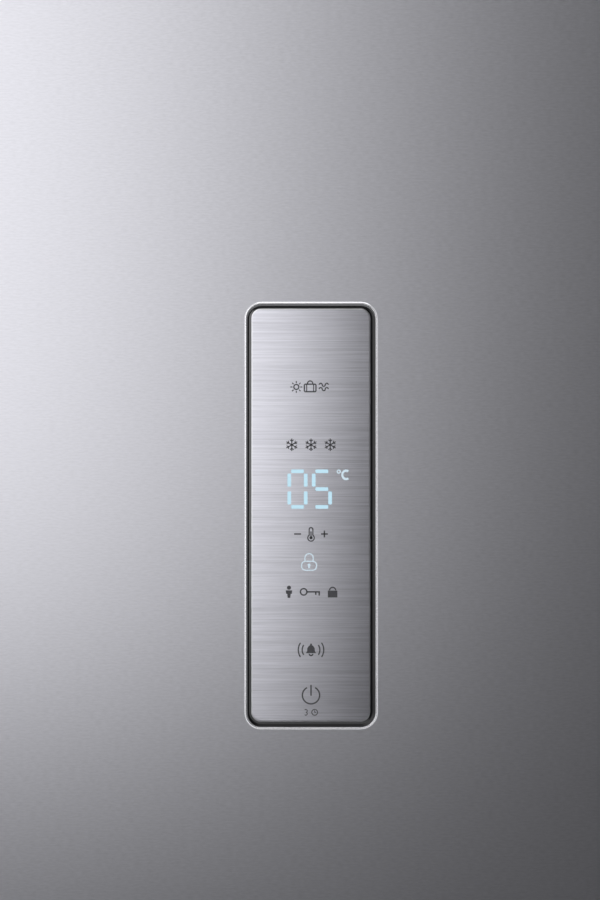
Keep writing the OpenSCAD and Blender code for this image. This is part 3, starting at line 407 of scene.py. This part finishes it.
def piece(name, bm, body, slot, finish=None, smooth=35.0):
    """Makes the mesh an object that rides on a body. Its finish is the slot's, unless one is given."""
    bmesh.ops.remove_doubles(bm, verts=bm.verts, dist=0.0002 * MM)
    bmesh.ops.recalc_face_normals(bm, faces=bm.faces)
    mesh = bpy.data.meshes.new(name)
    bm.to_mesh(mesh)
    bm.free()
    mesh.materials.append(finishes[finish or slot].material)
    if smooth:
        mesh.shade_smooth()
        mesh.set_sharp_from_angle(angle=math.radians(smooth))
    made = bpy.data.objects.new(name, mesh)
    scene.collection.objects.link(made)
    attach(made, body)
    return made


def placed(bm, matrix):
    bmesh.ops.transform(bm, matrix=matrix, verts=bm.verts)
    return bm


def block(middle, size):
    """Matrix that makes a unit cube a box of the size about its middle."""
    return Matrix.Translation(middle) @ Matrix.Diagonal((*size, 1))


def round_rectangle(bm, w, h, r, z, steps):
    """Face of a round rectangle in the plane z."""
    at = Matrix.Translation((0, 0, z)) @ Matrix.Diagonal((w, h, 1, 1))
    corners = bmesh.ops.create_grid(bm, x_segments=1, y_segments=1, size=0.5, matrix=at)["verts"]
    if r > 0:
        bmesh.ops.bevel(
            bm, geom=corners, offset=r, offset_type="OFFSET", segments=steps, profile=0.5,
            affect="VERTICES", material=-1,
        )
    bm.faces.ensure_lookup_table()
    return bm.faces[-1]


def ring(stations, w, h, r, steps=8):
    """Closed band along a round rectangle. A station is (how far outside the rectangle, height)."""
    bm = bmesh.new()
    first_out, first_up = stations[0]
    first_r = r + first_out if r else 0
    face = round_rectangle(bm, w + 2 * first_out, h + 2 * first_out, first_r, first_up, steps)
    loop = list(face.edges)
    bmesh.ops.delete(bm, geom=[face], context="FACES_ONLY")
    centre = Vector((w / 2 - r, h / 2 - r))
    out_before = first_out
    for out, up in stations[1:] + stations[:1]:
        grown = bmesh.ops.extrude_edge_only(bm, edges=loop)["geom"]
        loop = [g for g in grown if isinstance(g, bmesh.types.BMEdge)]
        for vert in (g for g in grown if isinstance(g, bmesh.types.BMVert)):
            x_side = math.copysign(1, vert.co.x)
            y_side = math.copysign(1, vert.co.y)
            corner = Vector((x_side * centre.x, y_side * centre.y, vert.co.z))
            if r:
                away = (vert.co - corner) / (r + out_before)
            else:
                away = Vector((x_side, y_side, 0))
            vert.co += away * (out - out_before)
            vert.co.z = up
        out_before = out
    return bm


def in_metres(stations):
    return [(out * MM, up * MM) for out, up in stations]


# Rim, groove and edge of the control panel

# Profiles go around the opening or the fascia: (how far outside it, how far out of the door's face)
RIM_PROFILE = [
    (0.92, -0.7), (0.92, -0.02), (0.87, 0.06), (0.8, 0.13), (0.4, 0.43), (0.3, 0.47), (0.12, 0.47),
    (0.02, 0.43), (-0.12, 0.22), (-0.17, 0.1), (-0.18, -0.05), (-0.18, -0.7),
]
SHOULDER_PROFILE = [(0.6, 0.2), (0.4, 0.2), (-0.45, -0.46), (-0.45, -1.2), (0.6, -1.2)]
WALL_PROFILE = [(0.45, -0.3), (0.0, -0.38), (-1.4, -0.7), (-1.5, -1.4), (0.45, -1.4)]
FLOOR_PROFILE = [(-1.3, -0.72), (-2.42, -0.22), (-2.48, -1.4), (-1.3, -1.4)]
EDGE_PROFILE = [(-0.5, 0.0), (-0.49, 0.06), (-0.05, -0.02), (0.02, -0.1), (0.02, -0.5), (-0.5, -0.5)]
RIM_SPARE = (0.1, 0.4)
RIM_SHIFT = (0.14, -0.12)
SHOULDER_SHIFT = (0.24, -0.5)
EDGE_RISE = 0.3
EDGE_R = 4.4
FLAT_ANGLE = 12


def panel_ring(profile, w, h, r, shift=(0, 0)):
    return placed(ring(profile, w, h, r), PANEL @ Matrix.Translation((*shift, 0)))


def panel_rim():
    """Rounded bright rim, a touch larger than the opening and off its middle as in the photograph."""
    bead = panel_ring(
        RIM_PROFILE, OPENING_W + RIM_SPARE[0], OPENING_H + RIM_SPARE[1], OPENING_R, RIM_SHIFT
    )
    rim = piece("panel_rim", bead, "door", "panel_black", "rim_metal")
    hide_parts("panel_surround")


def groove():
    """Grey shoulder below the rim, seen most at the top and on the left, then the dark wall and floor."""
    for name, profile, shift, finish in (
        ("groove_shoulder", SHOULDER_PROFILE, SHOULDER_SHIFT, "shoulder_metal"),
        ("groove_wall", WALL_PROFILE, (0, 0), "wall_black"),
        ("groove_floor", FLOOR_PROFILE, (0, 0), "groove_black"),
    ):
        band = panel_ring(profile, OPENING_W, OPENING_H, OPENING_R, shift)
        piece(name, band, "door", "panel_black", finish, FLAT_ANGLE)


def fascia_edge():
    edge = panel_ring(EDGE_PROFILE, FASCIA_W, FASCIA_H + EDGE_RISE, EDGE_R, (0, EDGE_RISE / 2))
    piece("fascia_edge", edge, "door", "silver_trim")


panel_rim()
groove()
fascia_edge()


# Strokes of the signs, in millimetres

PRINT_T = 0.05
PRINT_GAP = 0.01
STROKE = 0.5


def line(bm, a, b, width=STROKE):
    """Straight stroke from a to b."""
    a = Vector((a[0], a[1], 0))
    b = Vector((b[0], b[1], 0))
    run = b - a
    turn = Matrix.Rotation(math.atan2(run.y, run.x), 4, "Z")
    size = Matrix.Diagonal((run.length + width * 0.6, width, PRINT_T, 1))
    bmesh.ops.create_cube(bm, size=1, matrix=Matrix.Translation((a + b) / 2) @ turn @ size)


def arc(bm, centre, r, start=0, sweep=360, width=STROKE, stretch=1.0):
    """Stroke along a circle, from the start angle over the sweep, in degrees."""
    upright = Matrix.Rotation(math.radians(90), 4, "X") @ Matrix.Diagonal((width, PRINT_T, 1, 1))
    end = Matrix.Rotation(math.radians(start), 4, "Z") @ Matrix.Translation((r, 0, 0)) @ upright
    before = set(bm.verts)
    verts = bmesh.ops.create_grid(bm, x_segments=1, y_segments=1, size=0.5, matrix=end)["verts"]
    edges = list({e for v in verts for e in v.link_edges})
    faces = list({f for v in verts for f in v.link_faces})
    full = sweep >= 360
    if full:
        bmesh.ops.delete(bm, geom=faces, context="FACES_ONLY")
        faces = []
    bmesh.ops.spin(
        bm, geom=verts + edges + faces, cent=(0, 0, 0), axis=(0, 0, 1), angle=math.radians(sweep),
        steps=max(6, round(abs(sweep) / 12)), use_merge=full,
    )
    grown = [v for v in bm.verts if v not in before]
    at = Matrix.Translation((*centre, 0)) @ Matrix.Diagonal((1, stretch, 1, 1))
    bmesh.ops.transform(bm, matrix=at, verts=grown)


def dot(bm, centre, r):
    bmesh.ops.create_cone(
        bm, cap_ends=True, segments=24, radius1=r, radius2=r, depth=PRINT_T,
        matrix=Matrix.Translation((*centre, 0)),
    )


def shape(bm, points):
    """Filled shape through the points."""
    face = bm.faces.new([bm.verts.new((*p, -PRINT_T / 2)) for p in points])
    grown = bmesh.ops.extrude_face_region(bm, geom=[face])["geom"]
    risen = [g for g in grown if isinstance(g, bmesh.types.BMVert)]
    bmesh.ops.translate(bm, vec=(0, 0, PRINT_T), verts=risen)


def mirrored_shape(bm, middle, right_side):
    """Filled shape that is the same on both sides, from the points of its right side."""
    right = [(middle + x, y) for x, y in right_side]
    left = [(middle - x, y) for x, y in reversed(right_side) if x]
    shape(bm, right + left)


def box_line(bm, centre, w, h, r, width):
    """Stroke along a round rectangle."""
    band = [(0, -PRINT_T / 2), (0, PRINT_T / 2), (-width, PRINT_T / 2), (-width, -PRINT_T / 2)]
    made = ring(band, w, h, r, 5)
    bmesh.ops.translate(made, vec=(*centre, 0), verts=made.verts)
    spare = bpy.data.meshes.new("spare")
    made.to_mesh(spare)
    made.free()
    bm.from_mesh(spare)
    bpy.data.meshes.remove(spare)


def direction(degrees):
    turn = math.radians(degrees)
    return Vector((math.cos(turn), math.sin(turn)))


# Signs on the fascia


def draw_holiday(bm):
    """Sun, suitcase and two waves."""
    sun = Vector((-6.4, 0))
    arc(bm, sun, 1.15, width=0.6)
    for k in range(8):
        ray = direction(45 * k)
        line(bm, sun + ray * 1.95, sun + ray * 2.6)
    box_line(bm, (0, -0.45), 6.0, 4.1, 0.9, 0.6)
    arc(bm, (0, 1.6), 1.2, 0, 180, 0.55)
    for x in (-1.6, 1.6):
        line(bm, (x, -2.0), (x, 1.2), 0.45)
    for y in (-1.0, 1.0):
        for k in range(3):
            arc(bm, (4.9 + 1.4 * k, y), 0.7, 180 * (k % 2), 180, 0.55)


def draw_frost(bm):
    """Three snow crystals."""
    for x in (-8.9, 0, 8.9):
        heart = Vector((x, 0))
        for k in range(6):
            degrees = 60 * k + 30
            spoke = direction(degrees)
            line(bm, heart, heart + spoke * 2.75)
            fork = heart + spoke * 1.6
            for side in (-50, 50):
                line(bm, fork, fork + direction(degrees + side), 0.42)


def draw_temperature(bm):
    """Thermometer between minus and plus."""
    bold = 0.65
    glass = 0.55
    line(bm, (-7.6, 0), (-4.8, 0), bold)
    line(bm, (4.8, 0), (7.6, 0), bold)
    line(bm, (6.2, -1.4), (6.2, 1.4), bold)
    arc(bm, (0, -1.8), 1.5, 122, 296, glass)
    arc(bm, (0, 2.1), 0.85, 0, 180, glass)
    for x in (-0.85, 0.85):
        line(bm, (x, -0.5), (x, 2.1), glass)
    dot(bm, (0, -1.8), 0.75)
    line(bm, (0, -1.8), (0, 1.0), glass)


def draw_key(bm):
    """Small figure, key and padlock."""
    figure_x = -10.2
    dot(bm, (figure_x, 1.9), 0.95)
    mirrored_shape(bm, figure_x, [(1.5, 0.7), (1.3, -0.9), (0.8, -0.9), (0.6, -2.8)])
    bold = 0.65
    arc(bm, (-3.4, 0), 1.5, width=bold)
    line(bm, (-1.9, 0), (3.9, 0), bold)
    line(bm, (3.8, 0), (3.8, -1.5), bold)
    line(bm, (2.2, 0), (2.2, -1.2), bold)
    lock_x = 10.0
    mirrored_shape(bm, lock_x, [(2.2, -2.6), (2.2, 0.6)])
    arc(bm, (lock_x, 0.7), 1.4, 0, 180, 0.6)


def draw_bell(bm):
    """Bell with sound on both sides."""
    mirrored_shape(bm, 0, [(2.4, -1.5), (1.8, -0.6), (1.7, 0.8), (1.0, 1.9), (0, 2.3)])
    dot(bm, (0, 2.5), 0.45)
    arc(bm, (0, -1.8), 0.8, 180, 180, 0.65)
    for r in (4.1, 5.9):
        for start in (-34, 146):
            arc(bm, (0, 0), r, start, 68, 0.6)


def draw_power(bm):
    bold = 0.66
    arc(bm, (0, 0), 4.0, 118, 304, bold)
    line(bm, (0, 0), (0, 4.6), bold)


def draw_three(bm):
    """The number three and a clock face."""
    arc(bm, (-2.4, 0.66), 0.66, -90, 230, 0.4)
    arc(bm, (-2.4, -0.66), 0.66, -140, 230, 0.4)
    arc(bm, (1.7, 0), 1.35, width=0.4)
    line(bm, (1.7, 0), (1.7, 0.8), 0.34)
    line(bm, (1.7, 0), (2.35, 0), 0.34)


def draw_degree(bm):
    arc(bm, (-2.35, 1.5), 0.72, width=0.55)
    arc(bm, (1.05, 0), 1.75, 55, 250, 0.95, 1.12)


def draw_padlock(bm):
    """Padlock in outline, with its keyhole."""
    thin = 0.46
    shackle_r = 1.9
    keyhole = 0.7
    box_line(bm, (0, -1.9), 7.4, 4.6, 2.0, thin)
    arc(bm, (0, 1.8), shackle_r, 0, 180, thin)
    for x in (-shackle_r, shackle_r):
        line(bm, (x, 0.5), (x, 1.8), thin)
    dot(bm, (0, -1.6), keyhole)
    line(bm, (0, -1.6), (0, -2.9), keyhole)


def sign(name, at, draw, slot, finish):
    """A flat sign on the fascia, drawn about its own middle."""
    bm = bmesh.new()
    draw(bm)
    lift = Matrix.Translation((*at, PRINT_GAP + PRINT_T / 2))
    piece(name, placed(bm, PANEL @ lift), "door", slot, finish, smooth=0)


for name, at, draw in (
    ("sign_holiday", (-0.3, 59.5), draw_holiday),
    ("sign_frost", (0.1, 32.7), draw_frost),
    ("sign_temperature", (0.1, -8.6), draw_temperature),
    ("sign_key", (0.1, -35.4), draw_key),
    ("sign_bell", (0.1, -62.3), draw_bell),
    ("sign_power", (0.1, -83.3), draw_power),
    ("sign_three_seconds", (0.1, -91.2), draw_three),
):
    sign(name, at, draw, "fascia_steel", "sign_ink")
sign("lit_degree", (15.3, 18.8), draw_degree, "lit_cyan", "pale_lit")
sign("lit_padlock", (-0.8, -21.4), draw_padlock, "lit_cyan", "pale_lit")


# Door gasket: bellows and magnet strip

GASKET_PROFILE = [
    (-2.0, 0.0), (-2.0, 1.6), (-4.6, 3.2), (-1.2, 5.0), (-0.6, 6.4), (-2.4, 7.4), (-0.4, 8.6),
    (-0.4, 12.6), (-1.2, 13.6), (-14.2, 13.6), (-15.2, 12.8), (-15.2, 8.8), (-12.8, 7.6), (-15.8, 6.0),
    (-13.4, 3.4), (-16.4, 1.6), (-16.4, 0.0),
]
GASKET_SMOOTH = 50


def gasket_bellows():
    low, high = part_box("door_gasket")
    middle_z = (low.z + high.z) / 2
    at = Matrix(((1, 0, 0, 0), (0, 0, 1, low.y), (0, -1, 0, middle_z), (0, 0, 0, 1)))
    folds = placed(ring(in_metres(GASKET_PROFILE), high.x - low.x, high.z - low.z, 0), at)
    bellows = piece("gasket_bellows", folds, "door", "gasket_rubber", smooth=GASKET_SMOOTH)
    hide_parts("door_gasket")


gasket_bellows()


# Rolled rims and silver bands of the door bins

BIN_RIM_PROFILE = [
    (1.0, -0.4), (1.3, -1.6), (0.8, -2.6), (0.05, -2.8), (0.05, 0.05), (-2.6, 0.05), (-2.6, 0.4),
    (-1.2, 1.0), (0.2, 0.8),
]
BIN_W = 0.404
BIN_CORNER_R = 0.012
BAND_SIZE = (BIN_W - 0.03, 0.0014, 0.012)
BAND_DROP = 0.016


def bin_rim(name, body):
    low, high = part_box(name)
    rim = ring(in_metres(BIN_RIM_PROFILE), BIN_W, high.y - low.y, BIN_CORNER_R, 6)
    at = Matrix.Translation((0, (low.y + high.y) / 2, high.z))
    piece(name + "_rim", placed(rim, at), body, "clear_plastic", "clear_edge")


def bar(name, body, middle, size, bevel, segments):
    """Silver bar with softened edges."""
    bm = bmesh.new()
    bmesh.ops.create_cube(bm, size=1, matrix=block(middle, size))
    bmesh.ops.bevel(
        bm, geom=bm.edges[:], offset=bevel, segments=segments, profile=0.5, affect="EDGES", material=-1
    )
    piece(name, bm, body, "silver_trim")


def bin_band(name, body):
    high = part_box(name)[1]
    middle = (0, high.y + BAND_SIZE[1] / 2, high.z - BAND_DROP)
    bar(name + "_band", body, middle, BAND_SIZE, 0.0005, 2)


for name, body in (
    ("door_bin_upper", "bin_upper"), ("door_bin_lower", "bin_lower"), ("bottle_bin", "bin_bottles"),
):
    bin_rim(name, body)
    bin_band(name, body)
bin_band("dairy_bin", "dairy_bin")


# Pull strips on the drawers

PULL_SIZE = (0.26, 0.003, 0.018)
PULL_DROP = 0.02


def drawer_pull(name):
    low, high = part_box(name)
    middle = (0, low.y - PULL_SIZE[1] / 2, high.z - PULL_DROP)
    bar(name + "_pull", name, middle, PULL_SIZE, 0.001, 3)


drawer_pull("drawer_upper")
drawer_pull("drawer_lower")


# Screws and plugs of the back panel

back_low, back_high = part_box("back_panel")
FACING_BACK = Matrix.Rotation(math.radians(-90), 4, "X")
SCREW_INSET = 0.012
SCREW_START = 0.03
SCREW_PITCH = 0.3
SCREWS_A_SIDE = 6
SCREW_HEAD_R = 0.0042
SCREW_HEAD_RISE = 0.45
PLUG_X = 0.17
PLUG_DROP = 0.075
PLUG_R = 0.017
PLUG_TOP_R = 0.0155
PLUG_T = 0.0024
PLUG_RING = 0.006
PLUG_DISH = 0.0012


def back_screws():
    bm = bmesh.new()
    head = FACING_BACK @ Matrix.Diagonal((1, 1, SCREW_HEAD_RISE, 1))
    for side in (-1, 1):
        for k in range(SCREWS_A_SIDE):
            x = side * (back_high.x - SCREW_INSET)
            z = back_low.z + SCREW_START + k * SCREW_PITCH
            at = Matrix.Translation((x, back_high.y, z))
            bmesh.ops.create_uvsphere(
                bm, u_segments=16, v_segments=8, radius=SCREW_HEAD_R, matrix=at @ head
            )
    piece("back_screws", bm, "cabinet", "pin_steel")


def foam_plugs():
    """Plugs in the holes that the foam went in by: a flat flange with a shallow dish."""
    bm = bmesh.new()
    seat = FACING_BACK @ Matrix.Translation((0, 0, PLUG_T / 2))
    for x in (-PLUG_X, PLUG_X):
        at = Matrix.Translation((x, back_high.y, back_high.z - PLUG_DROP)) @ seat
        verts = bmesh.ops.create_cone(
            bm, cap_ends=True, segments=40, radius1=PLUG_R, radius2=PLUG_TOP_R, depth=PLUG_T, matrix=at
        )["verts"]
        faces = {f for v in verts for f in v.link_faces}
        top = max(faces, key=lambda f: f.calc_center_median().y)
        bmesh.ops.inset_region(
            bm, faces=[top], thickness=PLUG_RING, depth=-PLUG_DISH, use_even_offset=True
        )
    piece("foam_plugs", bm, "cabinet", "grey_plastic")


back_screws()
foam_plugs()


# Frame around the lamp in the roof of the liner

LAMP_FRAME_PROFILE = [(0.0, 0.0), (0.0, -2.2), (1.2, -3.0), (4.6, -3.0), (6.0, -1.6), (6.0, 0.0)]
LAMP_CORNER_R = 0.012


def lamp_frame():
    low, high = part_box("light_lens")
    band = ring(in_metres(LAMP_FRAME_PROFILE), high.x - low.x, high.y - low.y, LAMP_CORNER_R, 6)
    at = Matrix.Translation(((low.x + high.x) / 2, (low.y + high.y) / 2, high.z))
    piece("lamp_frame", placed(band, at), "cabinet", "white_plastic")


lamp_frame()


# Floor, world and lights

FLOOR_R = 60
FLOOR_COLOR = (0.993, 0.994, 0.996)
WORLD_COLOR = (0.79, 0.795, 0.81)
# Black cloth behind the camera, which keeps the pale studio out of the steel's reflection
CLOTH_X = (-1.0, 2.3)
CLOTH_Y = -1.62
CLOTH_Z = (-0.2, 3.2)
# Key: a sheet of light with a dimmer strip on its right, whose edges give the steel its fall of light
KEY_EDGES = (-1.66, -0.12, 0.1)
KEY_SHARES = (1, 0.34)
KEY_Y = -1.5
KEY_Z = (1.2, 2.6)
KEY_POWER = 5.05


def staged(name, bm, color):
    mesh = bpy.data.meshes.new(name)
    bm.to_mesh(mesh)
    bm.free()
    made = bpy.data.objects.new(name, mesh)
    scene.collection.objects.link(made)
    mesh.materials.append(Finish(name, color, 0.8).material)
    return made


def studio_floor():
    bm = bmesh.new()
    bmesh.ops.create_circle(bm, cap_ends=True, segments=96, radius=FLOOR_R)
    staged("studio_floor", bm, FLOOR_COLOR)


def dark_flag():
    """The cloth shows in reflections only."""
    bm = bmesh.new()
    middle = Matrix.Translation((sum(CLOTH_X) / 2, CLOTH_Y, sum(CLOTH_Z) / 2))
    upright = Matrix.Rotation(math.radians(90), 4, "X")
    size = Matrix.Diagonal((CLOTH_X[1] - CLOTH_X[0], CLOTH_Z[1] - CLOTH_Z[0], 1, 1))
    bmesh.ops.create_grid(
        bm, x_segments=1, y_segments=1, size=0.5, matrix=middle @ upright @ size
    )
    cloth = staged("dark_flag", bm, (0.01, 0.01, 0.01))
    cloth.visible_camera = False
    cloth.visible_diffuse = False
    cloth.visible_transmission = False
    cloth.visible_shadow = False


def lamp(name, at, turn, size, power):
    """Soft lamp that the camera doesn't see directly."""
    data = bpy.data.lights.new(name, "AREA")
    data.shape = "RECTANGLE"
    data.size, data.size_y = size
    data.energy = power
    made = bpy.data.objects.new(name, data)
    made.location = at
    made.rotation_euler = [math.radians(a) for a in turn]
    made.visible_camera = False
    scene.collection.objects.link(made)


def key_sheets():
    height = KEY_Z[1] - KEY_Z[0]
    for k, share in enumerate(KEY_SHARES):
        left, right = KEY_EDGES[k:k + 2]
        width = right - left
        at = ((left + right) / 2, KEY_Y, sum(KEY_Z) / 2)
        lamp("key_sheet_%d" % k, at, (90, 0, 0), (width, height), KEY_POWER * share * width * height)


def studio_world():
    world = bpy.data.worlds.new("studio")
    world.use_nodes = True
    background = world.node_tree.nodes["Background"]
    background.inputs["Color"].default_value = (*WORLD_COLOR, 1)
    background.inputs["Strength"].default_value = 1.0
    scene.world = world


studio_floor()
dark_flag()
studio_world()
key_sheets()
lamp("top_softbox", (0.3, -0.4, 3.6), (0, 0, 0), (2.0, 2.0), 9)

scene.view_settings.view_transform = "Standard"
